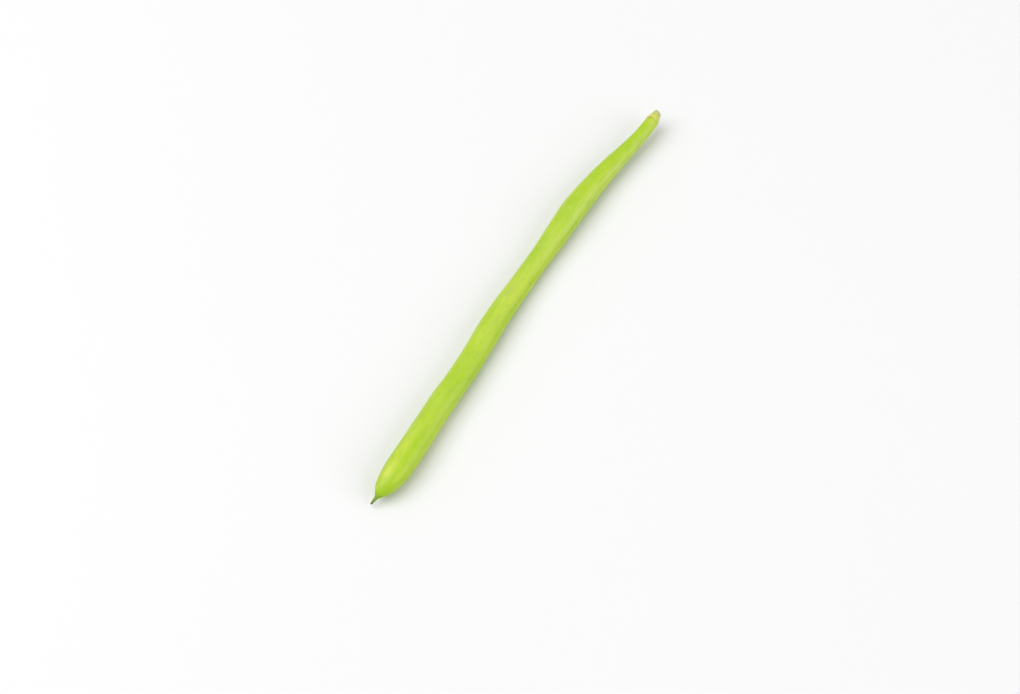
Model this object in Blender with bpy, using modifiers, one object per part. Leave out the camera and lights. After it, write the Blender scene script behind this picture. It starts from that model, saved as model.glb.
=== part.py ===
"""Green bean: one whole pod lying on its side, with the remains of its calyx and its stem.

Metres, +Z up. The bean lies along X on the plane z = 0, with its stem end at +X and the
origin under the middle of its box. The pod is one grown piece, from the foot that sits in
the calyx to the tip of the beak. The calyx is the small dry cup that held the flower, and the
stem stub is what stays on it where the stalk has snapped off.
"""

import math

import bmesh
import bpy
import numpy as np
from mathutils import Matrix, Vector

MM = 0.001

# The whole bean. Places along it are measured from the stem end towards the beak.
LENGTH = 150.0 * MM
GAP = 0.3 * MM             # between the pod, the calyx and the stub
BOW = 3.1 * MM             # sideways bend of the middle
BOW_SKEW = 0.5             # how much the bend gathers towards the stem end
NECK_END = 39.0 * MM
NECK_RISE = 1.6 * MM       # how far the neck lifts towards the stem end
PRESS = 0.2 * MM           # depth of the flat that the pod rests on

# Small sideways wander of the middle line, on top of the bend.
WANDER_ALONG = np.array((0, 5, 12, 24, 36, 56, 82, 102, 116, 132, 150)) * MM
WANDER_SIDE = np.array((-0.1, -0.95, -0.85, 0.2, 0.75, 0.2, 0.36, -0.45, 0, -0.15, 0)) * MM

# Half width of the pod along its length, before its two ends are rounded off.
OUTLINE_ALONG = np.array((0, 6, 10, 23, 31, 36, 42, 52, 62, 74, 86, 98, 116, 134, 150)) * MM
OUTLINE_HALF = (
    np.array((1.64, 1.7, 1.88, 2.66, 3.0, 3.48, 3.52, 3.14, 2.86, 3.0, 3.38, 3.28, 3.4, 3.7, 3.72)) * MM
)
SOFTENING = np.linspace(-5, 5, 11) * MM

# The section. Its long axis runs from the back suture, which leads to the beak, to the belly.
OVAL = 1.05                # height at the sutures over width at the cheeks
SUTURE_TILT = math.radians(-30)
SEED_COUNT = 8
FIRST_SEED = 36.0 * MM
LAST_SEED = 131.0 * MM
SEED_SWELL = 0.1 * MM      # how far each seed pushes the cheeks out

# The two ends of the pod.
ROUNDNESS = 3.5            # exponents of a blunt end
CLOSING = 0.75
SHOULDER_START = 3.45 * MM
SHOULDER_END = 5.2 * MM
FOOT_HALF = 0.75 * MM
NOSE_START = 132.0 * MM
NOSE_END = 148.0 * MM
NOSE_LEAN = 1.0 * MM       # shift of the nose towards the back suture
BEAK_START = 145.0 * MM
BEAK_ROOT_HALF = 0.9 * MM
BEAK_TIP_HALF = 0.24 * MM
BEAK_DROP = 1.7 * MM
BEAK_SWING = 0.6 * MM

# The calyx and the stub, along the stem end.
STUB_LENGTH = 0.9 * MM
STUB_HALF = 1.27 * MM
STUB_SLANT = math.radians(14)
CALYX_FLOOR = 0.4 * MM
CALYX_DEPTH = 2.1 * MM
CALYX_BASE_HALF = 1.45 * MM
CALYX_RIM_HALF = 1.8 * MM
CALYX_WALL = 0.32 * MM
LOBE_COUNT = 5
NOTCH_HALF = 0.45 * MM
CALYX_START = STUB_LENGTH + GAP
FOOT_START = CALYX_START + CALYX_FLOOR + GAP

# Fineness of the meshes.
RING_SIDES = 24
FOOT_RINGS = 3
SHOULDER_RINGS = 7
BODY_RINGS = 80
NOSE_RINGS = 14
BEAK_RINGS = 6
CUP_STEPS = 30

UP = Vector((0, 0, 1))
CIRCLE = 2 * math.pi


# ---------------------------------------------------------------- shape of the pod

def rounded(share):
    """Height of a blunt end: 1 where the rounding starts, 0 where the end closes."""
    share = min(max(share, 0.0), 1.0)
    return (1 - share**ROUNDNESS) ** CLOSING


def softened(along, places, values):
    """Value at a place along the pod, read from a table with its corners softened."""
    return float(np.mean(np.interp(along + SOFTENING, places, values)))


def half_width(along):
    """Half width of the pod, rounded off into the foot and into the beak."""
    shoulder = rounded((SHOULDER_END - along) / (SHOULDER_END - SHOULDER_START))
    nose = rounded((along - NOSE_START) / (NOSE_END - NOSE_START))
    core_places = (SHOULDER_END, BEAK_START, LENGTH)
    core = float(np.interp(along, core_places, (FOOT_HALF, BEAK_ROOT_HALF, BEAK_TIP_HALF)))
    outline = softened(along, OUTLINE_ALONG, OUTLINE_HALF)
    return math.hypot(outline * shoulder * nose, core)


def resting_height(along):
    """Height of the centre line where the pod lies on its side and is pressed a little flat."""
    reach = math.hypot(OVAL * math.sin(SUTURE_TILT), math.cos(SUTURE_TILT))
    return half_width(along) * reach - PRESS


def centre(along):
    """Centre of the pod at a place along it."""
    run = 2 * along / LENGTH - 1
    side = BOW * (1 - run * run) * (1 - BOW_SKEW * run) + softened(along, WANDER_ALONG, WANDER_SIDE)
    height = resting_height(min(max(along, NECK_END), NOSE_START))
    height += NECK_RISE * (max(NECK_END - along, 0) / NECK_END) ** 2
    lean = NOSE_LEAN * (max(along - NOSE_START, 0) / (NOSE_END - NOSE_START)) ** 2
    beak = (max(along - BEAK_START, 0) / (LENGTH - BEAK_START)) ** 2
    side += lean * math.cos(SUTURE_TILT) + BEAK_SWING * beak
    height += lean * math.sin(SUTURE_TILT) - BEAK_DROP * beak
    return Vector((LENGTH / 2 - along, side, height))


def heading(along):
    """Direction of the centre line, towards the beak."""
    step = 0.5 * MM
    return (centre(along + step) - centre(along - step)).normalized()


def seed_swelling(along):
    """How far the cheeks stand out over the seeds."""
    if not FIRST_SEED < along < LAST_SEED:
        return 0.0
    run = (along - FIRST_SEED) / (LAST_SEED - FIRST_SEED)
    return SEED_SWELL * math.sin(math.pi * SEED_COUNT * run) ** 2


def skin_point(along, turn):
    """Point of the pod's skin, where a turn of 0 is the back suture and half a circle the belly."""
    ahead = heading(along)
    across = ahead.cross(UP).normalized()
    above = across.cross(ahead)
    back = across * math.cos(SUTURE_TILT) + above * math.sin(SUTURE_TILT)
    cheek = above * math.cos(SUTURE_TILT) - across * math.sin(SUTURE_TILT)
    half = half_width(along)
    back *= OVAL * half * math.cos(turn)
    cheek *= (half + seed_swelling(along)) * math.sin(turn)
    return centre(along) + back + cheek


def stations():
    """Places of the rings along the pod, closer together where an end rounds off."""
    quarter = math.pi / 2
    foot = np.linspace(FOOT_START, SHOULDER_START, FOOT_RINGS, endpoint=False)
    ease = 1 - np.cos(quarter * np.linspace(0, 1, SHOULDER_RINGS, endpoint=False))
    shoulder = SHOULDER_START + (SHOULDER_END - SHOULDER_START) * ease
    body = np.linspace(SHOULDER_END, NOSE_START, BODY_RINGS, endpoint=False)
    ease = np.sin(quarter * np.linspace(0, 1, NOSE_RINGS, endpoint=False))
    nose = NOSE_START + (NOSE_END - NOSE_START) * ease
    beak = np.linspace(NOSE_END, LENGTH, BEAK_RINGS)
    return np.concatenate((foot, shoulder, body, nose, beak))


# ---------------------------------------------------------------- building

def clear_scene():
    for item in list(bpy.data.objects):
        bpy.data.objects.remove(item, do_unlink=True)


def new_collection(name):
    group = bpy.data.collections.new(name)
    bpy.context.scene.collection.children.link(group)
    return group


def material(name, colour, roughness):
    """Plain surface of one colour, given as linear red, green and blue."""
    made = bpy.data.materials.new(name)
    made.use_nodes = True
    surface = made.node_tree.nodes["Principled BSDF"]
    surface.inputs["Base Color"].default_value = (*colour, 1)
    surface.inputs["Roughness"].default_value = roughness
    surface.inputs["Metallic"].default_value = 0
    return made


def new_object(name, bm, group):
    """Turn a finished bmesh into an object of the given collection."""
    mesh = bpy.data.meshes.new(name)
    bm.to_mesh(mesh)
    bm.free()
    made = bpy.data.objects.new(name, mesh)
    group.objects.link(made)
    return made


def finish(part, surface):
    part.data.materials.append(surface)
    part.data.shade_smooth()
    part.data.set_sharp_from_angle(angle=math.radians(45))


def stand_on_stem_line(part, along):
    """Place a piece on the centre line, its own Z axis pointing towards the beak."""
    part.location = centre(along)
    part.rotation_mode = "QUATERNION"
    part.rotation_quaternion = heading(along).to_track_quat("Z", "Y")


def cut_flat(bm, place, normal):
    """Cut away what lies beyond a plane and close the cut."""
    everything = bm.verts[:] + bm.edges[:] + bm.faces[:]
    bmesh.ops.bisect_plane(bm, geom=everything, plane_co=place, plane_no=normal, clear_outer=True)
    bmesh.ops.holes_fill(bm, edges=[edge for edge in bm.edges if edge.is_boundary])


def make_pod(group):
    """A straight tube with a ring at each station, shaped into the pod and cut flat below."""
    places = stations()
    bm = bmesh.new()
    ring = bmesh.ops.create_circle(bm, segments=RING_SIDES, radius=1)["verts"]
    edges = list({edge for vert in ring for edge in vert.link_edges})
    for _ in places[1:]:
        grown = bmesh.ops.extrude_edge_only(bm, edges=edges)["geom"]
        edges = [item for item in grown if isinstance(item, bmesh.types.BMEdge) and item.is_boundary]
        ring = {vert for edge in edges for vert in edge.verts}
        bmesh.ops.translate(bm, vec=UP, verts=list(ring))
    for vert in bm.verts:
        along = float(places[round(vert.co.z)])
        vert.co = skin_point(along, math.atan2(vert.co.y, vert.co.x))
    bmesh.ops.holes_fill(bm, edges=[edge for edge in bm.edges if edge.is_boundary])
    cut_flat(bm, (0, 0, 0), (0, 0, -1))
    bmesh.ops.recalc_face_normals(bm, faces=bm.faces)
    return new_object("pod", bm, group)


def make_calyx(group):
    """A turned cup around the stem line, still with a plain rim."""
    profile = (
        (0, CALYX_FLOOR),
        (CALYX_BASE_HALF - CALYX_WALL, CALYX_FLOOR),
        (CALYX_RIM_HALF - CALYX_WALL, CALYX_DEPTH),
        (CALYX_RIM_HALF, CALYX_DEPTH),
        (CALYX_BASE_HALF, CALYX_FLOOR / 2),
        (CALYX_BASE_HALF - CALYX_FLOOR / 2, 0),
        (0, 0),
    )
    bm = bmesh.new()
    verts = [bm.verts.new((radius, 0, height)) for radius, height in profile]
    for first, second in zip(verts, verts[1:]):
        bm.edges.new((first, second))
    calyx = new_object("calyx", bm, group)
    turned = calyx.modifiers.new("turned", "SCREW")
    turned.angle = CIRCLE
    turned.steps = CUP_STEPS
    turned.render_steps = CUP_STEPS
    turned.use_merge_vertices = True
    turned.merge_threshold = 0.001 * MM
    stand_on_stem_line(calyx, CALYX_START)
    return calyx


def notch_rim(calyx, cutters):
    """Round notches in the rim leave the short lobes of the calyx standing."""
    bm = bmesh.new()
    outwards = Matrix.Rotation(math.pi / 2, 3, "Y")
    for number in range(LOBE_COUNT):
        notch = bmesh.ops.create_cone(
            bm, cap_ends=True, segments=12, radius1=NOTCH_HALF, radius2=NOTCH_HALF, depth=CALYX_RIM_HALF
        )["verts"]
        bmesh.ops.rotate(bm, verts=notch, matrix=outwards)
        bmesh.ops.translate(bm, verts=notch, vec=(CALYX_RIM_HALF, 0, CALYX_DEPTH))
        bmesh.ops.rotate(bm, verts=notch, matrix=Matrix.Rotation(CIRCLE * number / LOBE_COUNT, 3, "Z"))
    notches = new_object("notches", bm, cutters)
    notches.hide_render = True
    notches.display_type = "WIRE"
    notches.parent = calyx
    cut = calyx.modifiers.new("notches", "BOOLEAN")
    cut.operation = "DIFFERENCE"
    cut.object = notches


def make_stub(group):
    """A short round stub whose free end has snapped off at a slant."""
    bm = bmesh.new()
    bmesh.ops.create_cone(
        bm, cap_ends=True, segments=20, radius1=0.9 * STUB_HALF, radius2=STUB_HALF, depth=2 * STUB_LENGTH
    )
    slant = Vector((math.sin(STUB_SLANT), 0, -math.cos(STUB_SLANT)))
    cut_flat(bm, (0, 0, 0), slant)
    bmesh.ops.recalc_face_normals(bm, faces=bm.faces)
    stub = new_object("stem_stub", bm, group)
    stand_on_stem_line(stub, 0)
    return stub


def world_points(part):
    """The finished piece's points, with its modifiers and its place."""
    seen = part.evaluated_get(bpy.context.evaluated_depsgraph_get())
    return [seen.matrix_world @ vert.co for vert in seen.data.vertices]


def put_origin_under_middle(parts, group):
    """Slide the finished bean on its table until the origin is under the middle of its box."""
    points = [point for part in parts for point in world_points(part)]
    middle = bpy.data.objects.new("middle", None)
    group.objects.link(middle)
    for axis in (0, 1):
        places = [point[axis] for point in points]
        middle.location[axis] = -(min(places) + max(places)) / 2
    for part in parts:
        part.parent = middle


def main():
    clear_scene()
    bean = new_collection("green_bean")
    cutters = new_collection("cutters")
    pod = make_pod(bean)
    calyx = make_calyx(bean)
    notch_rim(calyx, cutters)
    stub = make_stub(bean)
    finish(pod, material("pod_skin", (0.49, 0.69, 0.05), 0.42))
    finish(calyx, material("dry_calyx", (0.61, 0.55, 0.15), 0.8))
    finish(stub, material("broken_stem", (0.30, 0.26, 0.13), 0.9))
    put_origin_under_middle((pod, calyx, stub), bean)


main()
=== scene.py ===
"""Green bean: one fresh pod lying on its side, with its withered calyx and its snapped stem.

Metres, +Z up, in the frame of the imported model. Places along the bean are measured from the
stem end, which is at +X, towards the tip of the beak, which is at -X. A turn goes round the pod:
0 is the back suture, which leads to the beak, and half a circle is the belly.
"""

import math

import bmesh
import bpy
import numpy as np
from mathutils import Matrix, Vector, noise


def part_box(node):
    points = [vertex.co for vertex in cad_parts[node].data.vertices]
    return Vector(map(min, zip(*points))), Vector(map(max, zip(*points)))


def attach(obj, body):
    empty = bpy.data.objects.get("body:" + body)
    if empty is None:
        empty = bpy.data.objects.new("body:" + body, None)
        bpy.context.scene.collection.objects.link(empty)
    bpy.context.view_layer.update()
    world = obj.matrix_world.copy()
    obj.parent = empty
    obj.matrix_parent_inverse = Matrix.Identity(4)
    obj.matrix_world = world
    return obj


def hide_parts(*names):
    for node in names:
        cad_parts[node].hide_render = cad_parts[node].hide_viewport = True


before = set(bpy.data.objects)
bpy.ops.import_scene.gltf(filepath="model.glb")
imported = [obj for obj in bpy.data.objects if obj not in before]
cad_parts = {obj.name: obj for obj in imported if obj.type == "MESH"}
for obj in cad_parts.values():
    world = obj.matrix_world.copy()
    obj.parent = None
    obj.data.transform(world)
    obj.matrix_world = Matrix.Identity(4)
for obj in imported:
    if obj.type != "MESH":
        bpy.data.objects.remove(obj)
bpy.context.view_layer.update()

MM = 0.001
CIRCLE = 2 * math.pi
UP = Vector((0, 0, 1))

# ---------------------------------------------------------------- sizes of the bean

LENGTH = 150.0 * MM
BOW = 3.1 * MM             # sideways bend of the middle
BOW_SKEW = 0.5             # how much the bend gathers towards the stem end
NECK_END = 39.0 * MM
NECK_RISE = 1.6 * MM       # how far the neck lifts towards the stem end
PRESS = 0.2 * MM           # how far the underside is pressed flat
PRESS_EASE = 0.08 * MM     # softness of the edge of that flat

# Small sideways wander of the middle line, on top of the bend.
WANDER_ALONG = np.array((0, 5, 12, 24, 36, 56, 82, 102, 116, 132, 150)) * MM
WANDER_SIDE = np.array((-0.1, -0.95, -0.85, 0.2, 0.75, 0.2, 0.36, -0.45, 0, -0.15, 0)) * MM

# Half width of the pod along its length, before its two ends are rounded off.
OUTLINE_ALONG = np.array((0, 6, 10, 23, 31, 36, 42, 52, 62, 74, 86, 98, 116, 134, 150)) * MM
OUTLINE_HALF = np.array(
    (1.64, 1.7, 1.88, 2.66, 3.0, 3.48, 3.52, 3.14, 2.86, 3.0, 3.38, 3.28, 3.4, 3.7, 3.72)
) * MM
SOFTENING = np.linspace(-5, 5, 11) * MM

OVAL = 1.05                # height at the sutures over width at the cheeks
SUTURE_TILT = math.radians(-30)     # how the bean is rolled: the back suture lies low

ROUNDNESS = 3.5            # exponents of a blunt end
CLOSING = 0.75
SHOULDER_START = 1.85 * MM
SHOULDER_END = 4.3 * MM
FOOT_START = 1.6 * MM
FOOT_HALF = 0.75 * MM
NOSE_START = 132.0 * MM
NOSE_END = 148.0 * MM
NOSE_LEAN = 1.0 * MM       # shift of the nose towards the back suture
BEAK_START = 145.0 * MM
BEAK_ROOT_HALF = 0.9 * MM
BEAK_TIP_HALF = 0.24 * MM
TIP_ROUNDING = 0.3 * MM    # how much of the tip of the beak is rounded off
TIP_CLOSING = 0.95         # how far the rounded tip closes, from 0 to 1
BEAK_DROP = 1.7 * MM
BEAK_SWING = 0.6 * MM

# Seeds: their places, how far each pushes the cheeks out, and the length of each swelling.
SEED_PLACES = np.array((42.4, 53.1, 66.2, 77.0, 90.1, 101.2, 113.8, 124.9)) * MM
SEED_SWELLS = np.array((0.09, 0.12, 0.11, 0.14, 0.12, 0.15, 0.15, 0.13)) * MM
SEED_REACH = 3.4 * MM

# The two sutures: a fine groove between two low lips, on a broad keel.
GROOVE_HALF = 0.13 * MM
LIP_PLACE = 0.36 * MM
LIP_HALF = 0.2 * MM
KEEL_HALF = 1.0 * MM
BACK_GROOVE, BACK_LIPS, BACK_KEEL = 0.07 * MM, 0.05 * MM, 0.1 * MM
BELLY_GROOVE, BELLY_LIPS, BELLY_KEEL = 0.02 * MM, 0.012 * MM, 0.05 * MM
SUTURE_STRAY = 0.14 * MM   # how far a groove strays from its line
STRAY_LENGTH = 5.0 * MM
LIP_WAVER = 0.5            # how unevenly a lip stands, as a share of its height
LIP_WAVER_LENGTH = 1.6 * MM
BELLY_SHIFT = 40.0 * MM    # sets the waver of the belly apart from that of the back
LINE_HALF = 1.3 * GROOVE_HALF      # half width of the darker line in a groove
BELLY_LINE = 0.3           # strength of that line at the belly

# Unevenness of the skin: depth, length along the pod, width round it, and a shift of its own.
LUMPS = (0.13 * MM, 13 * MM, 3.5 * MM, 0)
DIMPLES = (0.035 * MM, 3.2 * MM, 1.5 * MM, 11)
VEINS = (0.012 * MM, 16 * MM, 0.55 * MM, 23)
FULL_HALF = 2.0 * MM       # half width below which the unevenness shrinks with the pod
NECK_RIBS = 5
NECK_RIB_TURN = 0.6
NECK_RIB_HEIGHT = 0.05 * MM
NECK_RIB_FADE = 7.0 * MM

# Small healed rubs, in mm: place along, turn in degrees, half length, half width, depth.
RUBS = (
    (19.5, 78, 0.5, 0.22, 0.03),
    (31.0, 128, 0.35, 0.3, 0.04),
    (47.6, 62, 0.9, 0.14, 0.03),
    (58.7, 112, 0.3, 0.25, 0.04),
    (71.5, 145, 0.6, 0.16, 0.03),
    (84.2, 88, 0.28, 0.26, 0.05),
    (96.4, 236, 0.5, 0.3, 0.05),
    (108.3, 120, 0.75, 0.13, 0.03),
    (117.8, 292, 0.45, 0.3, 0.05),
    (129.6, 98, 0.3, 0.24, 0.04),
    (137.9, 139, 0.4, 0.18, 0.03),
    (64.0, 318, 0.8, 0.2, 0.04),
    (60.5, 144, 0.5, 0.26, 0.04),
    (90.0, 144, 0.9, 0.34, 0.04),
    (116.5, 105, 0.45, 0.22, 0.04),
)
FULL_RUB = 0.05            # depth in mm of a rub that has its full colour
SPOT_END = 3               # half lengths from the middle of a spot to where it has faded out

# A paler band along the pod, a painted highlight where a broad soft light would reflect: its turn in
# degrees and its strength at places along.
HIGHLIGHT_BAND_ALONG = np.array((0, 9, 17, 30, 42, 61, 77, 93, 106, 118, 131, 142, 150)) * MM
HIGHLIGHT_BAND_TURN = np.array((199, 196, 190, 170, 160, 141, 131, 147, 158, 163, 168, 165, 160))
HIGHLIGHT_BAND_STRENGTH = np.array((0.4, 0.8, 1.0, 1.0, 1.0, 0.8, 0.7, 0.4, 0.35, 0.45, 0.4, 0.15, 0.0))
HIGHLIGHT_BAND_HALF = 1.7 * MM
BACK_PALE = 0.7            # the paler keel along the back suture
BACK_PALE_HALF = 1.6 * MM

# Yellower and deeper green patches, in mm: place along, turn in degrees, half length, half width,
# strength.
# The first three yellower patches, at the nose, are the skin's yellower tone with a painted highlight
# laid on it.
RIPE_AND_HIGHLIGHT_PATCHES = (
    (141.8, 100, 5.0, 1.3, 1.0),
    (145.4, 92, 2.2, 1.2, 1.0),
    (131.0, 99, 7.0, 1.3, 0.55),
    (77.0, 124, 8.0, 2.2, 0.45),
    (92.0, 118, 7.0, 2.0, 0.3),
    (119.0, 118, 9.0, 2.2, 0.3),
    (118.0, 240, 9.0, 2.4, 0.6),
    (52.0, 270, 10.0, 2.6, 0.5),
    (98.0, 330, 12.0, 2.2, 0.5),
)
# Of the deeper patches, those at 43 and 62 mm near turn 100 and those at 72, 104 and 135 mm near turn
# 210 are painted shade.
DEEP_AND_SHADE_PATCHES = (
    (43.0, 108, 6.5, 2.6, 1.0),
    (62.0, 96, 11.0, 2.2, 0.85),
    (103.0, 104, 7.0, 2.0, 0.4),
    (17.0, 128, 9.0, 2.2, 0.75),
    (30.0, 120, 8.0, 2.2, 0.5),
    (139.0, 138, 6.0, 1.0, 0.5),
    (72.0, 212, 14.0, 1.7, 0.6),
    (104.0, 210, 18.0, 1.9, 0.7),
    (135.0, 205, 14.0, 2.2, 0.8),
    (84.0, 262, 12.0, 3.0, 0.6),
    (128.0, 300, 9.0, 2.6, 0.5),
    (34.0, 320, 10.0, 2.4, 0.5),
)

# Fineness of the pod's mesh.
POD_SIDES = 96
SUTURE_FINENESS = 0.6      # how much the sides crowd towards the sutures, from 0 to 1
FOOT_RINGS, SHOULDER_RINGS, BODY_RINGS, NOSE_RINGS, BEAK_RINGS, TIP_RINGS = 6, 26, 560, 90, 26, 8

# The pod's skin laid out flat: columns side by side, and the caps of its two ends above them.
MAP_COLUMNS = 3
MAP_MARGIN = 0.006
MAP_TOP = 0.96
CAP_MIDDLES = (0.25, 0.75)
CAP_HEIGHT = 0.985
CAP_SCALE = 8

# The calyx: a thin dry cup with uneven lobes, close round the foot of the pod.
CALYX_START = 1.2 * MM
CALYX_SIDES = 160
CUP_ALONG = np.array((1.2, 1.32, 1.5, 1.9, 2.4, 3.0, 6.0)) * MM
CUP_HALF = np.array((1.22, 1.38, 1.5, 1.64, 1.75, 1.8, 1.82)) * MM
CUP_HEIGHT = 1.55 * MM     # up to the bottom of the gaps between the lobes
CUP_WALL = 0.16 * MM
CUP_CRUMPLE = 0.04 * MM
CRUMPLE_LENGTH = 0.7 * MM
CRUMPLE_WAVES = 4
CRUMPLE_GROWTH = 3         # how soon the crumple and the ribs grow from the base
CUP_RIBS = 10
CUP_RIB = 0.02 * MM
CUP_RIB_TURN = 0.4
LOBE_ROUNDNESS = 1.5       # exponents of a lobe's outline
LOBE_CLOSING = 0.8
LOBE_EDGE = 0.05 * MM      # thickness at the edge of a lobe
LOBE_THINNING = 1.6        # how soon the wall thins towards that edge
LOBE_CLEARANCE = 0.02 * MM
EDGE_REACH = 0.3 * MM      # how far below the gaps between the lobes the edge starts to dry
EDGE_FULL = 1.2 * MM       # how far above those gaps it is fully dry
BASE_RINGS, OUTER_RINGS, INNER_RINGS = 7, 32, 24
BASE_SPAN = (0.1, 0.9)     # the first and last ring of the base, as shares of its radius
INNER_DEPTH = 0.15         # where the inside of the cup stops, as a share of its height
# The torn edge: height in mm, waves round the cup, and a shift of its own.
TEARS = ((0.10, 5, 1), (0.06, 17, 5))
# Lobes: turn in degrees, height above the cup in mm, half width in degrees, outward curl in mm.
LOBES = (
    (8, 0.62, 34, 0.05),
    (82, 0.95, 33, 0.02),
    (150, 0.42, 31, 0.06),
    (221, 0.8, 36, 0.03),
    (295, 0.5, 33, 0.08),
)

# The stub of the stem, snapped off at a slant.
STUB_HALF = 1.27 * MM
STUB_ROOT = 1.24 * MM      # where it runs into the calyx
STUB_SLANT = math.radians(14)
STUB_SIDES = 96
STUB_SIDE_RINGS, STUB_END_RINGS = 20, 16
# Its side, rounded corner and end: pairs give a share of the height and a share of the radius.
STUB_SIDE_TOP = 0.82
STUB_TAPER = 0.05          # how much the side narrows towards the end
STUB_CORNER = ((0.88, 0.95), (0.94, 0.91), (0.98, 0.85), (1.0, 0.78))
STUB_END_SPAN = (0.72, 0.04)
STUB_FACE_SPAN = (0.78, 0.97)      # share of the height over which the side becomes broken end
STUB_FULLNESS = 0.97       # usual radius of the side, as a share of STUB_HALF
STUB_FLARE = 0.16          # how much its root widens
STUB_FLARE_FADE = 2.2      # how soon that fades up the side
STUB_ROUGHNESS = 0.05      # unevenness of the side, as a share of the radius
STUB_RIBS = 7
STUB_RIB = 0.05            # height of a rib as a share of the radius
STUB_RIB_HEIGHTS = (0.45, 1.3, 0.1)        # usual share of that height, its spread and the least
STUB_RIB_SHIFT = 0.7       # how unevenly the ribs are spaced
# Waves round the stub and a shift of their own: for the spacing and the height of the ribs, and
# for the fibres of the end.
SPACING_WAVES, HEIGHT_WAVES, FIBRE_WAVES = (1.1, 4), (1.7, 6), (4, 9)

# The broken end, in mm: a ring of fibres that stands out, the sunken pith and fine splinters.
END_FIBRES, END_PITH, END_PROUD = 0.07, 0.16, 0.06
FIBRE_RING, FIBRE_RING_HALF = 0.6, 0.13         # where the fibres stand, as shares of the radius
FIBRE_SPREAD = 0.6         # how unevenly they stand out
PITH_HALF = 0.4            # reach of the pith, as a share of the radius
SPLINTERS = ((0.10, 4.5, 3), (0.05, 11, 8))     # height, waves in a millimetre, shift

# ---------------------------------------------------------------- sizes of the studio

CAMERA_LENS = 100.0
CAMERA_AZIMUTH = math.radians(-58.04)
CAMERA_ELEVATION = math.radians(60)
CAMERA_DISTANCE = 0.791
CAMERA_TARGET = Vector((-14.37, -6.95, 3.5)) * MM
FLOOR_SIZE = 8.0
ROOM_LIGHT = 0.5           # brightness of the room as it lights the bean
ROOM_SEEN = 0.95           # and as it shows behind the floor
# Lights: place, power, and the spread in degrees of the two windows or the sides of the box.
HIGH_WINDOW = ((-0.25, 0.55, 1.2), 1.8, 60)
LOW_WINDOW = ((0.15, -0.75, 0.45), 1.0, 45)
NOSE_BOX = ((-0.22, 0.36, 0.36), 0.25, (0.25, 0.2))


# ---------------------------------------------------------------- shape of the bean

def softened(along, places, values):
    """Value at a place along the pod, read from a table with its corners softened."""
    return float(np.mean(np.interp(along + SOFTENING, places, values)))


def rounded(share):
    """Height of a blunt end: 1 where the rounding starts, 0 where the end closes."""
    share = min(max(share, 0.0), 1.0)
    return (1 - share**ROUNDNESS) ** CLOSING


def half_width(along):
    """Half width of the pod, rounded off into the foot and into the beak."""
    shoulder = rounded((SHOULDER_END - along) / (SHOULDER_END - SHOULDER_START))
    nose = rounded((along - NOSE_START) / (NOSE_END - NOSE_START))
    core_places = (SHOULDER_END, BEAK_START, LENGTH)
    core = float(np.interp(along, core_places, (FOOT_HALF, BEAK_ROOT_HALF, BEAK_TIP_HALF)))
    tip = math.sqrt(1 - TIP_CLOSING * between(along, LENGTH - TIP_ROUNDING, LENGTH) ** 2)
    return math.hypot(softened(along, OUTLINE_ALONG, OUTLINE_HALF) * shoulder * nose, core * tip)


def centre(along):
    """Middle of the pod at a place along it, before the bean is slid to its origin."""
    run = 2 * along / LENGTH - 1
    side = BOW * (1 - run * run) * (1 - BOW_SKEW * run) + softened(along, WANDER_ALONG, WANDER_SIDE)
    resting = half_width(min(max(along, NECK_END), NOSE_START))
    height = resting * math.hypot(OVAL * math.sin(SUTURE_TILT), math.cos(SUTURE_TILT)) - PRESS
    height += NECK_RISE * (max(NECK_END - along, 0) / NECK_END) ** 2
    lean = NOSE_LEAN * (max(along - NOSE_START, 0) / (NOSE_END - NOSE_START)) ** 2
    beak = (max(along - BEAK_START, 0) / (LENGTH - BEAK_START)) ** 2
    side += lean * math.cos(SUTURE_TILT) + BEAK_SWING * beak
    height += lean * math.sin(SUTURE_TILT) - BEAK_DROP * beak
    return Vector((LENGTH / 2 - along, side, height))


def heading(along):
    """Direction of the middle line, towards the beak."""
    step = 0.5 * MM
    return (centre(along + step) - centre(along - step)).normalized()


def section_axes(along):
    """Directions from the middle line to the back suture and to the cheek above."""
    ahead = heading(along)
    across = ahead.cross(UP).normalized()
    above = across.cross(ahead)
    back = across * math.cos(SUTURE_TILT) + above * math.sin(SUTURE_TILT)
    cheek = above * math.cos(SUTURE_TILT) - across * math.sin(SUTURE_TILT)
    return back, cheek


def bell(distance, reach):
    return np.exp(-((distance / reach) ** 2))


def between(value, low, high):
    """Share of the way from low to high, held at its ends."""
    return np.clip((value - low) / (high - low), 0, 1)


def turned_from(turns, start):
    """How far each turn is from a starting turn, the short way round."""
    return (turns - start + math.pi) % CIRCLE - math.pi


def waves(turn, count, shift):
    """Smooth noise from -1 to 1 round a circle, with more waves for a higher count."""
    return noise.noise((math.cos(turn) * count, math.sin(turn) * count, shift))


def grain(along, turns, half, size):
    """Smooth unevenness round a ring of the pod, drawn out along it."""
    depth, length, width, shift = size
    run, reach = along / length + shift, half / width
    spots = [(run, reach * math.cos(turn), reach * math.sin(turn) + shift) for turn in turns]
    return depth * np.array([noise.noise(spot) for spot in spots])


# ---------------------------------------------------------------- meshes

def grow_tube(bm, sides, rings):
    """A tube round the Z axis with its rings one unit apart, open at both ends."""
    ring = bmesh.ops.create_circle(bm, segments=sides, radius=1)["verts"]
    edges = list({edge for vert in ring for edge in vert.link_edges})
    for _ in range(rings - 1):
        grown = bmesh.ops.extrude_edge_only(bm, edges=edges)["geom"]
        edges = [item for item in grown if isinstance(item, bmesh.types.BMEdge) and item.is_boundary]
        ring = {vert for edge in edges for vert in edge.verts}
        bmesh.ops.translate(bm, vec=UP, verts=list(ring))


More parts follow.
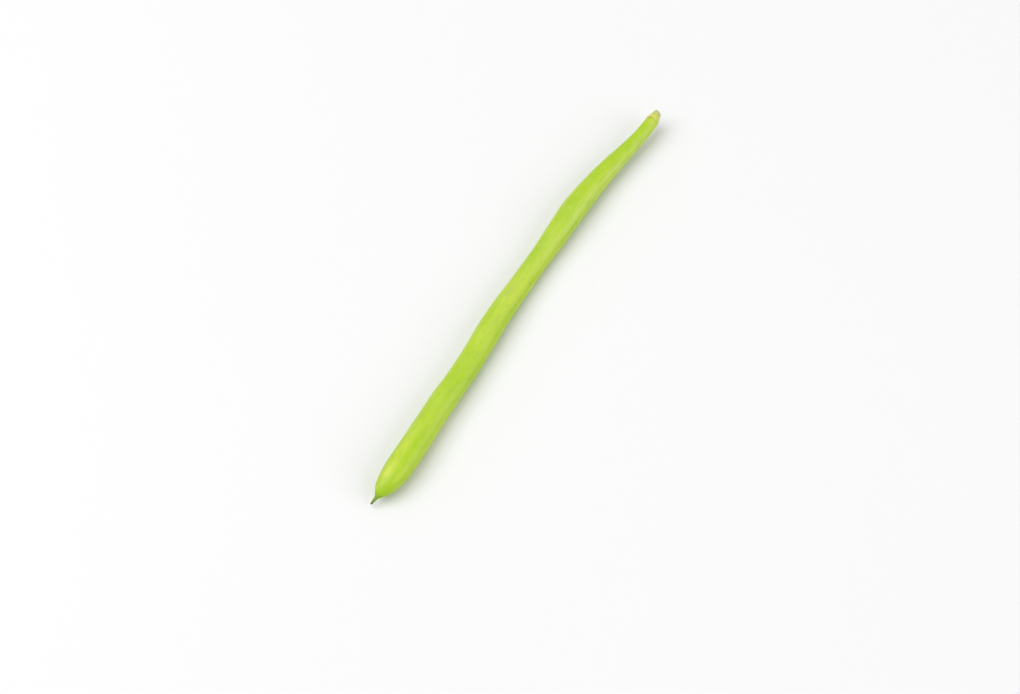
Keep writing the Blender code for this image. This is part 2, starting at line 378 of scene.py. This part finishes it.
def close_ends(bm):
    bmesh.ops.holes_fill(bm, edges=[edge for edge in bm.edges if edge.is_boundary])
    bmesh.ops.recalc_face_normals(bm, faces=bm.faces)


def spot_of(vert, sides):
    """Ring number and side number of a vertex of a tube as it was grown."""
    side = round(math.atan2(vert.co.y, vert.co.x) / CIRCLE * sides) % sides
    return round(vert.co.z), side


def finished_piece(name, bm, surface):
    mesh = bpy.data.meshes.new(name)
    bm.to_mesh(mesh)
    bm.free()
    mesh.materials.append(surface)
    mesh.shade_smooth()
    piece = bpy.data.objects.new(name, mesh)
    bpy.context.scene.collection.objects.link(piece)
    return piece


# ---------------------------------------------------------------- the pod

def pod_stations():
    """Places of the rings along the pod, closer together where an end rounds off."""
    quarter = math.pi / 2
    foot = np.linspace(FOOT_START, SHOULDER_START, FOOT_RINGS, endpoint=False)
    ease = 1 - np.cos(quarter * np.linspace(0, 1, SHOULDER_RINGS, endpoint=False))
    shoulder = SHOULDER_START + (SHOULDER_END - SHOULDER_START) * ease
    body = np.linspace(SHOULDER_END, NOSE_START, BODY_RINGS, endpoint=False)
    ease = np.sin(quarter * np.linspace(0, 1, NOSE_RINGS, endpoint=False))
    nose = NOSE_START + (NOSE_END - NOSE_START) * ease
    beak = np.linspace(NOSE_END, LENGTH - TIP_ROUNDING, BEAK_RINGS, endpoint=False)
    tip = LENGTH - TIP_ROUNDING * (1 - np.sin(quarter * np.linspace(0, 1, TIP_RINGS)))
    return np.concatenate((foot, shoulder, body, nose, beak, tip))


def pod_turns():
    """Turns of the sides of the pod, crowded towards the two sutures."""
    even = np.arange(POD_SIDES) / POD_SIDES * CIRCLE
    return even - SUTURE_FINENESS / 2 * np.sin(2 * even)


def suture_relief(along, away, groove, lips, keel):
    """Height of the skin across a suture, and how near each spot is to its line."""
    line = away - SUTURE_STRAY * noise.noise((along / STRAY_LENGTH, 0, 7))
    waver = 1 + LIP_WAVER * noise.noise((along / LIP_WAVER_LENGTH, 3, 0))
    relief = keel * bell(away, KEEL_HALF) - groove * bell(line, GROOVE_HALF)
    relief += lips * waver * bell(np.abs(line) - LIP_PLACE, LIP_HALF)
    return relief, bell(line, LINE_HALF)


def marked(along, turns, half, spots):
    """How strongly a list of spots on the skin reaches round one ring."""
    reached = np.zeros(len(turns))
    for place, degrees, length, width, strength in spots:
        away = along - place * MM
        if abs(away) < SPOT_END * length * MM:
            across = half * turned_from(turns, math.radians(degrees))
            here = bell(away, length * MM) * bell(across, width * MM)
            reached = np.maximum(reached, strength * here)
    return reached


def marks_on_skin(along, turns, half, line_back, line_belly):
    """The marks round one ring that the finish reads: the sutures, the paler keel with the painted
    highlight band, and the patches, some of them painted highlight and painted shade.
    """
    # The band is a painted highlight: a paler stripe where a broad soft light would reflect.
    band_turn = math.radians(float(np.interp(along, HIGHLIGHT_BAND_ALONG, HIGHLIGHT_BAND_TURN)))
    strength = float(np.interp(along, HIGHLIGHT_BAND_ALONG, HIGHLIGHT_BAND_STRENGTH))
    band = strength * bell(half * turned_from(turns, band_turn), HIGHLIGHT_BAND_HALF)
    keel = BACK_PALE * bell(half * turned_from(turns, 0), BACK_PALE_HALF)
    return {
        "suture": np.maximum(line_back, BELLY_LINE * line_belly),
        "pale": np.maximum(keel, band),
        "ripe_and_highlight": marked(along, turns, half, RIPE_AND_HIGHLIGHT_PATCHES),
        "deep_and_shade": marked(along, turns, half, DEEP_AND_SHADE_PATCHES),
    }


def ring_of_skin(along, turns):
    """Points of one ring of the skin, the same points as if it had grown straight, and its marks."""
    back, cheek = (np.array(axis) for axis in section_axes(along))
    half = half_width(along)
    cosine, sine = np.cos(turns), np.sin(turns)
    seeds = float(np.sum(SEED_SWELLS * bell(along - SEED_PLACES, SEED_REACH))) * sine**2
    away_back, away_belly = half * turned_from(turns, 0), half * turned_from(turns, math.pi)
    relief_back, line_back = suture_relief(along, away_back, BACK_GROOVE, BACK_LIPS, BACK_KEEL)
    relief_belly, line_belly = suture_relief(
        along + BELLY_SHIFT, away_belly, BELLY_GROOVE, BELLY_LIPS, BELLY_KEEL
    )
    ribs = NECK_RIB_HEIGHT * math.exp(-max(along - SHOULDER_END, 0) / NECK_RIB_FADE)
    rub = marked(along, turns, half, RUBS)

    relief = relief_back + relief_belly + ribs * np.cos(NECK_RIBS * turns + NECK_RIB_TURN)
    relief += grain(along, turns, half, LUMPS) + grain(along, turns, half, DIMPLES)
    relief = relief * min(half / FULL_HALF, 1.0) + seeds + grain(along, turns, half, VEINS)
    relief -= rub * MM
    points = np.array(centre(along)) + np.outer(OVAL * half * cosine, back)
    points += np.outer(half * sine, cheek)
    points += relief[:, None] * (np.outer(cosine, back) + np.outer(sine, cheek))
    points[:, 2] = (points[:, 2] + np.hypot(points[:, 2], PRESS_EASE)) / 2

    marks = marks_on_skin(along, turns, half, line_back, line_belly)
    # How much the seeds swell each spot; the finish paints it paler there as a painted highlight.
    marks["seed"] = seeds / SEED_SWELLS.max()
    marks["rub"] = np.clip(rub / FULL_RUB, 0, 1)
    grown = np.stack((np.full(len(turns), along), half * cosine, half * sine), 1)
    return points, grown, marks


def paint_map(bm, layers, places):
    """Lays the skin out in columns side by side, each one stretch of the pod."""
    spread = bm.loops.layers.uv.new("OFBake")
    grown_at, turn_at = layers
    stretch = (places[-1] - places[0]) / MAP_COLUMNS
    for face in bm.faces:
        if len(face.verts) > 4:
            for loop in face.loops:
                spot = loop.vert[grown_at]
                middle = CAP_MIDDLES[0] if spot.x < LENGTH / 2 else CAP_MIDDLES[1]
                loop[spread].uv = (middle + spot.y * CAP_SCALE, CAP_HEIGHT + spot.z * CAP_SCALE)
            continue
        turns = [loop.vert[turn_at] for loop in face.loops]
        wraps = max(turns) - min(turns) > 0.5
        middle = sum(loop.vert[grown_at].x for loop in face.loops) / 4
        column = min(int((middle - places[0]) / stretch), MAP_COLUMNS - 1)
        for loop, turn in zip(face.loops, turns):
            turn += 1 if wraps and turn < 0.5 else 0
            run = (loop.vert[grown_at].x - places[0]) / stretch - column
            across = (column + MAP_MARGIN * 2 + (1 - 4 * MAP_MARGIN) * turn) / MAP_COLUMNS
            up = MAP_MARGIN + (MAP_TOP - 2 * MAP_MARGIN) * min(max(run, 0), 1)
            loop[spread].uv = (across, up)


def make_pod(surface, slide):
    """The pod: a tube of fine rings moved out to the skin, closed at the foot and the beak."""
    places, turns = pod_stations(), pod_turns()
    rings = [ring_of_skin(along, turns) for along in places]
    bm = bmesh.new()
    grow_tube(bm, POD_SIDES, len(places))
    grown_at = bm.verts.layers.float_vector.new("grown")
    turn_at = bm.verts.layers.float.new("turn")
    mark_at = {name: bm.verts.layers.float.new(name) for name in rings[0][2]}
    for vert in bm.verts:
        ring, side = spot_of(vert, POD_SIDES)
        points, grown, marks = rings[ring]
        vert.co = Vector(points[side]) + slide
        vert[grown_at] = grown[side]
        vert[turn_at] = side / POD_SIDES
        for name, layer in mark_at.items():
            vert[layer] = marks[name][side]
    close_ends(bm)
    paint_map(bm, (grown_at, turn_at), places)
    return finished_piece("bean_pod", bm, surface)


# ---------------------------------------------------------------- the calyx

def lobe_at(turn):
    """Height of the calyx above its cup at a turn, and how far its edge curls out there."""
    height, curl = 0.0, 0.0
    for degrees, tall, wide, outward in LOBES:
        away = abs(turned_from(turn, math.radians(degrees))) / math.radians(wide)
        here = max(1 - away**LOBE_ROUNDNESS, 0.0) ** LOBE_CLOSING
        if tall * here > height:
            height, curl = tall * here, outward * here
    torn = sum(tall * waves(turn, count, shift) for tall, count, shift in TEARS)
    return (height + torn) * MM, curl * MM


def calyx_levels():
    """Rings of the calyx from the middle of its base, up outside, over the edge and down inside."""
    base = [("base", share) for share in np.linspace(*BASE_SPAN, BASE_RINGS)]
    outer = [("outer", share) for share in np.linspace(0, 1, OUTER_RINGS)]
    inner = [("inner", share) for share in np.linspace(1, INNER_DEPTH, INNER_RINGS)]
    return base + outer + [("edge", 1.0)] + inner


def calyx_spot(part, share, turn):
    """Place along the bean and radius of a spot on the calyx, and how near it is to the torn edge."""
    lobe, curl = lobe_at(turn)
    if part == "base":
        return CALYX_START, share * CUP_HALF[0], 0.0
    along = CALYX_START + (CUP_HEIGHT + lobe) * share
    above = along - CALYX_START - CUP_HEIGHT + EDGE_REACH
    near_edge = max(above, 0) / (EDGE_REACH + EDGE_FULL)
    wall = CUP_WALL + (LOBE_EDGE - CUP_WALL) * min(near_edge * LOBE_THINNING, 1.0)
    cup = float(np.interp(along, CUP_ALONG, CUP_HALF))
    radius = max(cup, half_width(along) + wall + LOBE_CLEARANCE)
    crumple = CUP_CRUMPLE * waves(turn, CRUMPLE_WAVES, along / CRUMPLE_LENGTH)
    ribs = CUP_RIB * math.cos(CUP_RIBS * turn + CUP_RIB_TURN)
    radius += (crumple + ribs) * min(share * CRUMPLE_GROWTH, 1) + curl * near_edge**2
    if part == "edge":
        return along + wall / 3, radius - wall / 2, near_edge
    return along, radius - (wall if part == "inner" else 0), near_edge


def make_calyx(surface, slide):
    """The dry calyx: a thin cup that turns over its torn edge and runs down inside."""
    levels = calyx_levels()
    bm = bmesh.new()
    grow_tube(bm, CALYX_SIDES, len(levels))
    grown_at = bm.verts.layers.float_vector.new("grown")
    edge_at = bm.verts.layers.float.new("edge")
    inside_at = bm.verts.layers.float.new("inside")
    for vert in bm.verts:
        level, side = spot_of(vert, CALYX_SIDES)
        part, share = levels[level]
        turn = side / CALYX_SIDES * CIRCLE
        along, radius, near_edge = calyx_spot(part, share, turn)
        back, cheek = section_axes(along)
        out = back * (OVAL * radius * math.cos(turn)) + cheek * (radius * math.sin(turn))
        vert.co = centre(along) + out + slide
        vert[grown_at] = (along, radius * math.cos(turn), radius * math.sin(turn))
        vert[edge_at] = near_edge
        vert[inside_at] = 1.0 if part == "inner" else 0.0
    close_ends(bm)
    return finished_piece("withered_calyx", bm, surface)


# ---------------------------------------------------------------- the stub of the stem

def stub_levels():
    """Rings from the root up the side and in over the broken end: height share and radius share."""
    rises = np.linspace(0, STUB_SIDE_TOP, STUB_SIDE_RINGS)
    side = [(share, 1 - STUB_TAPER * share**3) for share in rises]
    end = [(1.0, share) for share in np.linspace(*STUB_END_SPAN, STUB_END_RINGS)]
    return side + list(STUB_CORNER) + end


def stub_reach(turn, up_share, in_share):
    """How far the side of the stub stands out: uneven ribs, and a flare at its root."""
    usual, spread, least = STUB_RIB_HEIGHTS
    shifted = turn + STUB_RIB_SHIFT * waves(turn, *SPACING_WAVES)
    tall = STUB_RIB * max(usual + spread * waves(turn, *HEIGHT_WAVES), least)
    rib = tall * math.cos(STUB_RIBS * shifted) * in_share**3
    rough = STUB_ROUGHNESS * waves(turn, 2.4, up_share * 2)
    flare = 1 + STUB_FLARE * max(1 - up_share * STUB_FLARE_FADE, 0) ** 2
    return in_share * flare * (STUB_FULLNESS + rib + rough)


def broken_end(x, y, turn, in_share):
    """How far the broken end stands out at a spot of it."""
    fibres = END_FIBRES * bell(in_share - FIBRE_RING, FIBRE_RING_HALF)
    fibres *= 1 + FIBRE_SPREAD * waves(turn, *FIBRE_WAVES)
    pith = -END_PITH * bell(in_share, PITH_HALF)
    splinters = sum(
        height * noise.noise((x / MM * fine, y / MM * fine, shift)) for height, fine, shift in SPLINTERS
    )
    return (fibres + pith + splinters + END_PROUD) * MM


def make_stub(surface, slide):
    """The snapped stem: a ribbed side and a rough end, high on one side where it tore last."""
    levels = stub_levels()
    turn_to_line = heading(0).to_track_quat("Z", "Y").to_matrix().to_4x4()
    place = Matrix.Translation(centre(0) + slide) @ turn_to_line
    bm = bmesh.new()
    grow_tube(bm, STUB_SIDES, len(levels))
    grown_at = bm.verts.layers.float_vector.new("grown")
    face_at = bm.verts.layers.float.new("face")
    for vert in bm.verts:
        level, side = spot_of(vert, STUB_SIDES)
        turn = side / STUB_SIDES * CIRCLE
        up_share, in_share = levels[level]
        radius = STUB_HALF * stub_reach(turn, up_share, in_share)
        x, y = radius * math.cos(turn), radius * math.sin(turn)
        on_face = float(between(up_share, *STUB_FACE_SPAN))
        end = math.tan(STUB_SLANT) * x - broken_end(x, y, turn, in_share) * on_face
        vert.co = (x, y, STUB_ROOT + (end - STUB_ROOT) * up_share)
        vert[grown_at] = vert.co
        vert[face_at] = on_face
    close_ends(bm)
    bmesh.ops.transform(bm, matrix=place, verts=bm.verts)
    return finished_piece("snapped_stem", bm, surface)


# ---------------------------------------------------------------- building a finish from nodes

# Sockets of a Mix node for colours, by number, because their names repeat for each kind of value.
MIX_SHARE, MIX_UNDER, MIX_OVER, MIX_COLOUR = 0, 6, 7, 2


def opaque(colour):
    """A colour as a socket takes it: a linked one as it is, a plain one made opaque."""
    return colour if isinstance(colour, bpy.types.NodeSocket) else (*colour, 1)


class Finish:
    """A material whose nodes are added one by one, each fed by values or by other nodes."""

    def __init__(self, name):
        self.material = bpy.data.materials.new(name)
        self.material.use_nodes = True
        self.tree = self.material.node_tree
        self.surface = self.tree.nodes["Principled BSDF"]

    def feed(self, socket, value):
        if isinstance(value, bpy.types.NodeSocket):
            self.tree.links.new(value, socket)
        else:
            socket.default_value = value

    def add(self, kind, feeds=None, output=0, **settings):
        node = self.tree.nodes.new(kind)
        for setting, value in settings.items():
            setattr(node, setting, value)
        for name, value in (feeds or {}).items():
            self.feed(node.inputs[name], value)
        return node.outputs[output]

    def mark(self, name):
        """A value that the mesh carries at each of its points."""
        return self.add("ShaderNodeAttribute", output="Fac", attribute_name=name)

    def grown_place(self):
        """The place on the piece as it would be if it had grown straight."""
        return self.add("ShaderNodeAttribute", output="Vector", attribute_name="grown")

    def measured(self, place, size):
        """The place counted in grains of a size given along its three axes."""
        feeds = {"Vector": place, "Scale": tuple(1 / side for side in size)}
        return self.add("ShaderNodeMapping", feeds)

    def grains(self, place, size, detail, roughness):
        """Soft irregular patches from 0 to 1, of a size given along the three axes."""
        feeds = {"Scale": 1.0, "Detail": detail, "Roughness": roughness}
        feeds["Vector"] = self.measured(place, size)
        return self.add("ShaderNodeTexNoise", feeds, output="Fac")

    def cloud(self, place, length, width, detail=3.0, roughness=0.5):
        """Soft irregular patches from 0 to 1, drawn out along the bean."""
        return self.grains(place, (length, width, width), detail, roughness)

    def dots(self, place, spacing):
        """Distance to the nearest of many scattered dots, as a share of their spacing."""
        feeds = {"Vector": self.measured(place, (spacing, spacing, spacing)), "Scale": 1.0}
        return self.add("ShaderNodeTexVoronoi", feeds, output="Distance")

    def between(self, value, low, high, to_low=0.0, to_high=1.0):
        """A value read on a new scale, held at its ends."""
        feeds = {"Value": value, "From Min": low, "From Max": high, "To Min": to_low, "To Max": to_high}
        return self.add("ShaderNodeMapRange", feeds, clamp=True)

    def times(self, first, second):
        return self.add("ShaderNodeMath", {0: first, 1: second}, operation="MULTIPLY")

    def plus(self, first, second):
        return self.add("ShaderNodeMath", {0: first, 1: second}, operation="ADD")

    def over(self, under, colour, share):
        """One colour laid over another by a share."""
        feeds = {MIX_SHARE: share, MIX_UNDER: opaque(under), MIX_OVER: opaque(colour)}
        return self.add("ShaderNodeMix", feeds, output=MIX_COLOUR, data_type="RGBA")

    def tint(self, under, colour, pattern, start, full, share):
        """One colour laid over another where a pattern is past start, up to its share at full."""
        return self.over(under, colour, self.between(pattern, start, full, 0, share))

    def colours(self, value, stops):
        """A run of colours along a value, given as place and colour."""
        node = self.tree.nodes.new("ShaderNodeValToRGB")
        ramp = node.color_ramp
        while len(ramp.elements) < len(stops):
            ramp.elements.new(0.5)
        for element, (place, colour) in zip(ramp.elements, stops):
            element.position = place
            element.color = opaque(colour)
        self.feed(node.inputs[0], value)
        return node.outputs[0]

    def along(self, place):
        """How far along the bean a place is."""
        return self.add("ShaderNodeSeparateXYZ", {"Vector": place}, output="X")

    def bump(self, height, depth, strength=1.0):
        feeds = {"Height": height, "Distance": depth, "Strength": strength}
        self.feed(self.surface.inputs["Normal"], self.add("ShaderNodeBump", feeds))

    def finish(self, colour, roughness, **constants):
        self.feed(self.surface.inputs["Base Color"], colour)
        self.feed(self.surface.inputs["Roughness"], roughness)
        for name, value in constants.items():
            self.surface.inputs[name.replace("_", " ")].default_value = value
        return self.material


# ---------------------------------------------------------------- the three finishes

LEAF_GREEN = (0.395, 0.575, 0.017)
DEEP_GREEN = (0.325, 0.525, 0.012)
YELLOW_GREEN = (0.475, 0.60, 0.026)
PALE_GREEN = (0.50, 0.64, 0.12)
LIME_GREEN = (0.50, 0.64, 0.02)
RIPE_AND_HIGHLIGHT_YELLOW = (0.62, 0.68, 0.10)
GREY_GREEN = (0.34, 0.48, 0.10)
SUTURE_GREEN = (0.26, 0.38, 0.025)
DARK_GREEN = (0.13, 0.22, 0.03)
TIP_BROWN = (0.11, 0.09, 0.05)
RUB_TAN = (0.38, 0.37, 0.10)
SPECK_TAN = (0.42, 0.41, 0.09)
SPECK_BROWN = (0.27, 0.21, 0.06)

STRAW = (0.67, 0.67, 0.19)
STRAW_GREEN = (0.53, 0.61, 0.08)
TAN = (0.56, 0.42, 0.12)
DRY_BROWN = (0.33, 0.20, 0.07)

STEM_GREEN = (0.50, 0.56, 0.11)
STEM_TAN = (0.56, 0.50, 0.24)
SCAR_BROWN = (0.26, 0.21, 0.11)
SCAR_PALE = (0.44, 0.39, 0.22)
SCAR_DARK = (0.13, 0.10, 0.055)
FLOOR_WHITES = ((0.78, 0.78, 0.78), (0.8, 0.8, 0.8))

LIME_SPAN = (50 * MM, 75 * MM)      # where the light marks of the skin turn from pale to lime
DULL_SPAN = (148 * MM, 151 * MM)    # where the tip loses its gloss
ENDING_WAVER = 3 * MM               # how unevenly the skin changes towards its ends
# How it changes there: colour, where it starts and is full in mm, and its share.
SKIN_ENDINGS = (
    (STRAW_GREEN, 8, 4.5, 0.5),
    # Deeper green over the nose end: partly its own darker tone, partly painted shade of the crease
    # where the beak starts.
    (DEEP_GREEN, 143, 148.6, 0.85),
    (DARK_GREEN, 148.2, 150.2, 0.85),
    (TIP_BROWN, 150.2, 151.2, 0.9),
)
# The scar on the stem: colours from its middle to its rim.
SCAR_RINGS = (
    (0.0, SCAR_DARK), (0.3, SCAR_BROWN), (0.62, SCAR_PALE), (0.8, SCAR_BROWN), (1.0, SCAR_DARK),
)
STEM_FIBRES = (MM / 9, MM / 9, MM / 0.9)


def skin_ground(skin, place):
    """Patches of green, the paler keel, a painted highlight band, painted highlight over the seed
    swellings, and yellower and deeper spots, partly painted highlight and painted shade.
    """
    patches = skin.cloud(place, 22 * MM, 5 * MM)
    colour = skin.colours(patches, ((0.3, DEEP_GREEN), (0.5, LEAF_GREEN), (0.72, YELLOW_GREEN)))
    # Deeper green patches, some of them painted shade.
    colour = skin.over(colour, DEEP_GREEN, skin.times(skin.mark("deep_and_shade"), 0.8))
    pale_cloud = skin.between(skin.cloud(place, 9 * MM, 2.2 * MM), 0.35, 0.62, 0.45, 1)
    # Paler keel and painted highlight band, broken up by a cloud.
    pale = skin.times(skin.mark("pale"), pale_cloud)
    colour = skin.over(colour, PALE_GREEN, skin.times(pale, 0.8))
    # Yellower patches; at the nose they are a painted highlight as well.
    colour = skin.over(colour, RIPE_AND_HIGHLIGHT_YELLOW, skin.times(skin.mark("ripe_and_highlight"), 0.8))
    # Paler over the swellings of the seeds: a painted highlight.
    seeds = skin.times(skin.mark("seed"), pale_cloud)
    return skin.over(colour, PALE_GREEN, skin.times(seeds, 0.22))


def skin_texture(skin, colour, place, along):
    """Lengthwise streaks, mottling and pores, with their height, and the lines of the sutures."""
    light = skin.over(PALE_GREEN, LIME_GREEN, skin.between(along, *LIME_SPAN))
    streaks = skin.cloud(place, 26 * MM, 0.7 * MM, 4, 0.6)
    colour = skin.tint(colour, light, streaks, 0.52, 0.75, 0.35)
    colour = skin.tint(colour, DEEP_GREEN, streaks, 0.48, 0.25, 0.4)
    fine = skin.cloud(place, 5 * MM, 0.22 * MM, 3, 0.6)
    colour = skin.tint(colour, YELLOW_GREEN, fine, 0.55, 0.8, 0.35)
    grey = skin.cloud(place, 9 * MM, 3 * MM, 2)
    colour = skin.tint(colour, GREY_GREEN, grey, 0.6, 0.75, 0.45)
    mottle = skin.cloud(place, 2.8 * MM, 1.1 * MM, 3, 0.6)
    colour = skin.tint(colour, light, mottle, 0.54, 0.7, 0.4)
    colour = skin.tint(colour, DEEP_GREEN, mottle, 0.46, 0.32, 0.4)
    pores = skin.dots(place, 0.42 * MM)
    colour = skin.tint(colour, light, pores, 0.28, 0.1, 0.3)
    colour = skin.over(colour, SUTURE_GREEN, skin.times(skin.mark("suture"), 0.5))
    height = skin.plus(skin.times(streaks, 0.9), skin.times(fine, 0.45))
    height = skin.plus(height, skin.between(pores, 0.3, 0.1, 0, 0.25))
    return colour, streaks, height


def skin_blemishes(skin, colour, place):
    """A few ragged specks and the healed rubs, and how strong the rubs are."""
    ragged = skin.times(skin.cloud(place, 0.4 * MM, 0.25 * MM, 4, 0.65), 0.3)
    specks = skin.plus(skin.dots(place, 5.5 * MM), ragged)
    few = skin.between(skin.cloud(place, 11 * MM, 4 * MM, 1), 0.47, 0.54)
    edge = skin.times(skin.between(specks, 0.26, 0.185, 0, 0.65), few)
    core = skin.times(skin.between(specks, 0.2, 0.155, 0, 0.55), few)
    colour = skin.over(skin.over(colour, SPECK_TAN, edge), SPECK_BROWN, core)
    worn = skin.between(skin.cloud(place, 0.3 * MM, 0.12 * MM, 3, 0.6), 0.35, 0.65, -0.45, 0.1)
    rub = skin.plus(skin.mark("rub"), worn)
    return skin.tint(colour, RUB_TAN, rub, 0.25, 0.9, 0.65), rub


def pod_skin_finish():
    """Fresh skin: yellow-green patches, fine lengthwise streaks, pale sutures and few specks."""
    skin = Finish("pod_skin_finish")
    place = skin.grown_place()
    along = skin.along(place)
    colour = skin_ground(skin, place)
    colour, streaks, height = skin_texture(skin, colour, place, along)
    colour, rub = skin_blemishes(skin, colour, place)
    wavering = skin.plus(along, skin.times(skin.cloud(place, 3 * MM, 0.8 * MM, 2), ENDING_WAVER))
    for ending, start, end, share in SKIN_ENDINGS:
        colour = skin.tint(colour, ending, wavering, start * MM, end * MM, share)
    roughness = skin.between(streaks, 0.3, 0.7, 0.33, 0.47)
    roughness = skin.plus(roughness, skin.between(rub, 0.2, 0.8, 0, 0.25))
    roughness = skin.plus(roughness, skin.between(wavering, *DULL_SPAN, 0, 0.35))
    skin.bump(height, 0.045 * MM)
    return skin.finish(
        colour, roughness,
        Specular_IOR_Level=0.3, Coat_Weight=0.05, Coat_Roughness=0.3,
        Subsurface_Weight=0.12, Subsurface_Radius=(0.7, 1.0, 0.15), Subsurface_Scale=0.8 * MM,
    )


def dry_calyx_finish():
    """Dry papery calyx: straw at the cup, tan and brown towards the torn edge."""
    dry = Finish("dry_calyx_finish")
    place = dry.grown_place()
    veins = dry.cloud(place, 2.5 * MM, 0.12 * MM, 3, 0.6)
    blotches = dry.cloud(place, 0.8 * MM, 0.6 * MM, 3)
    age = dry.plus(dry.mark("edge"), dry.between(blotches, 0.3, 0.7, -0.25, 0.3))
    age = dry.plus(age, dry.times(dry.mark("inside"), 0.2))
    colour = dry.colours(age, ((0.0, STRAW_GREEN), (0.28, STRAW), (0.62, TAN), (0.95, DRY_BROWN)))
    colour = dry.tint(colour, TAN, veins, 0.5, 0.75, 0.45)
    colour = dry.tint(colour, STRAW, veins, 0.45, 0.2, 0.4)
    specks = dry.between(dry.dots(place, 0.35 * MM), 0.2, 0.08)
    colour = dry.over(colour, DRY_BROWN, dry.times(specks, 0.35))
    dry.bump(dry.plus(veins, dry.times(blotches, 0.6)), 0.06 * MM)
    return dry.finish(
        colour, dry.between(blotches, 0.3, 0.7, 0.62, 0.85), Sheen_Weight=0.1,
        Subsurface_Weight=0.05, Subsurface_Radius=(1, 0.7, 0.2), Subsurface_Scale=0.2 * MM,
    )


def broken_stem_finish():
    """Snapped stem: green and tan fibres on its side, a grey-brown scar on its end."""
    stem = Finish("broken_stem_finish")
    place = stem.grown_place()
    fibres = stem.grains(place, STEM_FIBRES, 3.0, 0.6)
    crumbs = stem.cloud(place, 0.3 * MM, 0.3 * MM, 4, 0.65)
    side = stem.over(STEM_GREEN, STEM_TAN, stem.between(fibres, 0.35, 0.65))
    side = stem.tint(side, SCAR_BROWN, crumbs, 0.6, 0.75, 0.35)
    flat = stem.add("ShaderNodeVectorMath", {0: place, 1: (1, 1, 0)}, operation="MULTIPLY")
    from_middle = stem.add("ShaderNodeVectorMath", {0: flat}, output="Value", operation="LENGTH")
    uneven = stem.between(crumbs, 0.3, 0.7, -0.12, 0.12)
    scar = stem.colours(stem.plus(stem.times(from_middle, 1 / STUB_HALF), uneven), SCAR_RINGS)
    scar = stem.tint(scar, SCAR_DARK, crumbs, 0.55, 0.7, 0.6)
    colour = stem.over(side, scar, stem.mark("face"))
    stem.bump(stem.plus(fibres, crumbs), 0.08 * MM)
    return stem.finish(colour, stem.between(crumbs, 0.3, 0.7, 0.75, 0.95))


def floor_finish():
    """Pale floor, very slightly uneven."""
    floor = Finish("pale_floor")
    place = floor.add("ShaderNodeTexCoord", output="Object")
    feeds = {"Vector": place, "Scale": 3.0, "Detail": 2.0}
    soft = floor.add("ShaderNodeTexNoise", feeds, output="Fac")
    return floor.finish(floor.over(*FLOOR_WHITES, soft), 0.7)


# ---------------------------------------------------------------- camera, lights and floor

def look_direction(azimuth, elevation):
    ground = Vector((-math.sin(azimuth), math.cos(azimuth), 0))
    return ground * math.cos(elevation) - UP * math.sin(elevation)


def set_camera():
    lens = bpy.data.cameras.new("camera")
    lens.lens = CAMERA_LENS
    lens.clip_start = 0.01
    camera = bpy.data.objects.new("camera", lens)
    bpy.context.scene.collection.objects.link(camera)
    ahead = look_direction(CAMERA_AZIMUTH, CAMERA_ELEVATION)
    camera.location = CAMERA_TARGET - ahead * CAMERA_DISTANCE
    camera.rotation_euler = ahead.to_track_quat("-Z", "Y").to_euler()
    bpy.context.scene.camera = camera


def hang_light(name, kind, place, power):
    """A light that faces the bean. Its lamp is returned, for its spread or size to be set."""
    lamp = bpy.data.lights.new(name, kind)
    lamp.energy = power
    light = bpy.data.objects.new(name, lamp)
    bpy.context.scene.collection.objects.link(light)
    light.location = place
    light.rotation_euler = (-Vector(place)).to_track_quat("-Z", "Y").to_euler()
    return lamp


def hang_lights():
    """Soft daylight from two sides, the same over the whole floor, and a small box at the nose."""
    for name, (place, power, spread) in (("high_window", HIGH_WINDOW), ("low_window", LOW_WINDOW)):
        hang_light(name, "SUN", place, power).angle = math.radians(spread)
    place, power, sides = NOSE_BOX
    box = hang_light("nose_box", "AREA", place, power)
    box.shape = "RECTANGLE"
    box.size, box.size_y = sides


def set_room():
    """A white room that lights the bean less than it shows behind the floor."""
    world = bpy.data.worlds.new("pale_room")
    world.use_nodes = True
    nodes, links = world.node_tree.nodes, world.node_tree.links
    room = nodes["Background"]
    seen = nodes.new("ShaderNodeLightPath").outputs["Is Camera Ray"]
    strength = nodes.new("ShaderNodeMapRange")
    strength.inputs["To Min"].default_value = ROOM_LIGHT
    strength.inputs["To Max"].default_value = ROOM_SEEN
    links.new(seen, strength.inputs["Value"])
    links.new(strength.outputs[0], room.inputs["Strength"])
    room.inputs["Color"].default_value = (1, 1, 1, 1)
    bpy.context.scene.world = world
    bpy.context.scene.view_settings.view_transform = "Standard"
    bpy.context.scene.view_settings.look = "None"


def lay_floor():
    bm = bmesh.new()
    bmesh.ops.create_grid(bm, x_segments=4, y_segments=4, size=FLOOR_SIZE / 2)
    floor = finished_piece("floor", bm, floor_finish())


# ---------------------------------------------------------------- putting it together

def slide_to_frame():
    """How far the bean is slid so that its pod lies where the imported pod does."""
    low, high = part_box("pod")
    sides = []
    for along in pod_stations()[::4]:
        back, cheek = section_axes(along)
        half = half_width(along)
        reach = math.hypot(OVAL * half * back.y, half * cheek.y)
        middle = centre(along).y
        sides += [middle - reach, middle + reach]
    beak_end = centre(LENGTH).x - BEAK_TIP_HALF * abs(section_axes(LENGTH)[0].x)
    return Vector((low[0] - beak_end, (low[1] + high[1] - min(sides) - max(sides)) / 2, 0))


def main():
    set_camera()
    set_room()
    hang_lights()
    lay_floor()
    slide = slide_to_frame()
    pod = make_pod(pod_skin_finish(), slide)
    calyx = make_calyx(dry_calyx_finish(), slide)
    stub = make_stub(broken_stem_finish(), slide)
    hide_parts("pod")
    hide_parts("calyx")
    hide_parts("stem_stub")
    for piece in (pod, calyx, stub):
        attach(piece, "root")


main()
